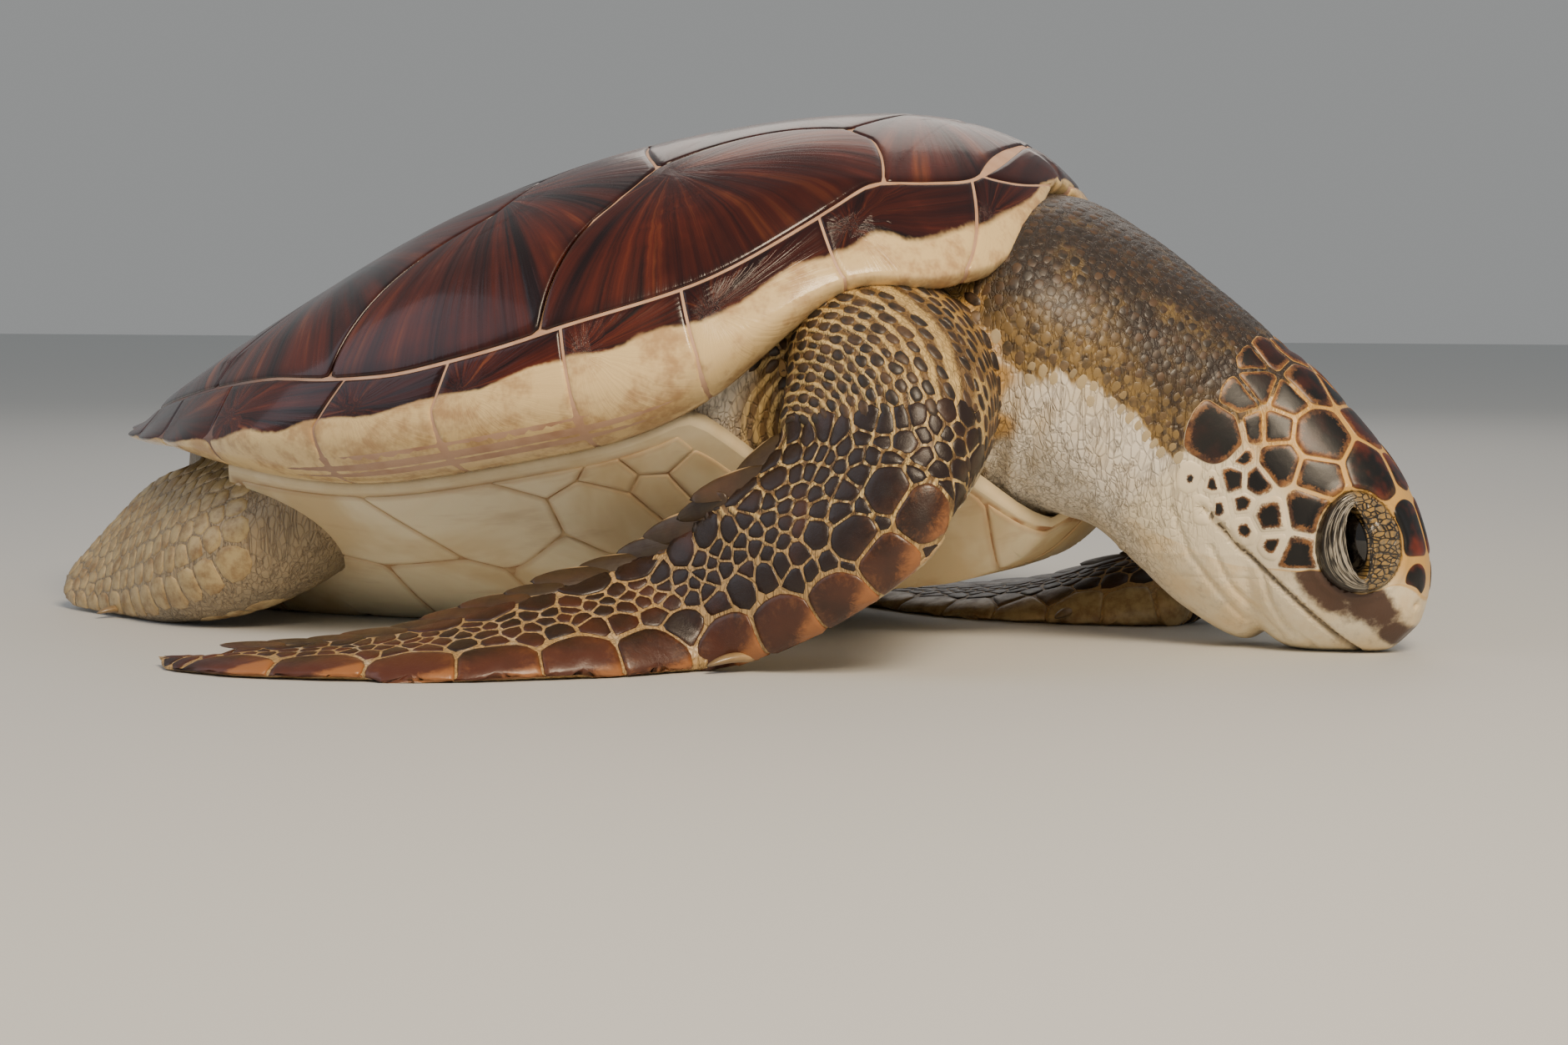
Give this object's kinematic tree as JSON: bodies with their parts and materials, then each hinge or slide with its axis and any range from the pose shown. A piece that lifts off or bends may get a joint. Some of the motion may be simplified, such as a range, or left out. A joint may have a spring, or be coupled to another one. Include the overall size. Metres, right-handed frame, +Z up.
{
  "type": "green sea turtle",
  "caption": "Life-size still green sea turtle lying on a beach floor, head lowered to the ground, front flippers swept back",
  "frame": {"origin": "under the middle of the whole animal, on the floor it lies on", "axes": "+X forward from tail to head, +Y to the animal's left, +Z up"},
  "size_m": [0.7406, 0.58, 0.2629],
  "materials": {
    "carapace": "wet polished horn, dark red-brown with lighter rays",
    "plastron": "wet cream horn with brown smears",
    "skin": "moist wrinkled hide with dark scales and pale seams",
    "eye": "wet near-black eye",
    "claw": "dull yellow-brown horn"
  },
  "bodies": {
    "root": {"carapace": "carapace", "plastron": "plastron", "trunk": "skin", "neck": "skin", "head": "skin", "lower_jaw": "skin", "eye_left": "eye", "eye_right": "eye", "upper_arm_left": "skin", "upper_arm_right": "skin", "flipper_front_left": "skin", "flipper_front_right": "skin", "flipper_hind_left": "skin", "flipper_hind_right": "skin", "tail": "skin", "claw_front_left": "claw", "claw_front_right": "claw", "claw_hind_left": "claw", "claw_hind_right": "claw"}
  },
  "joints": []
}
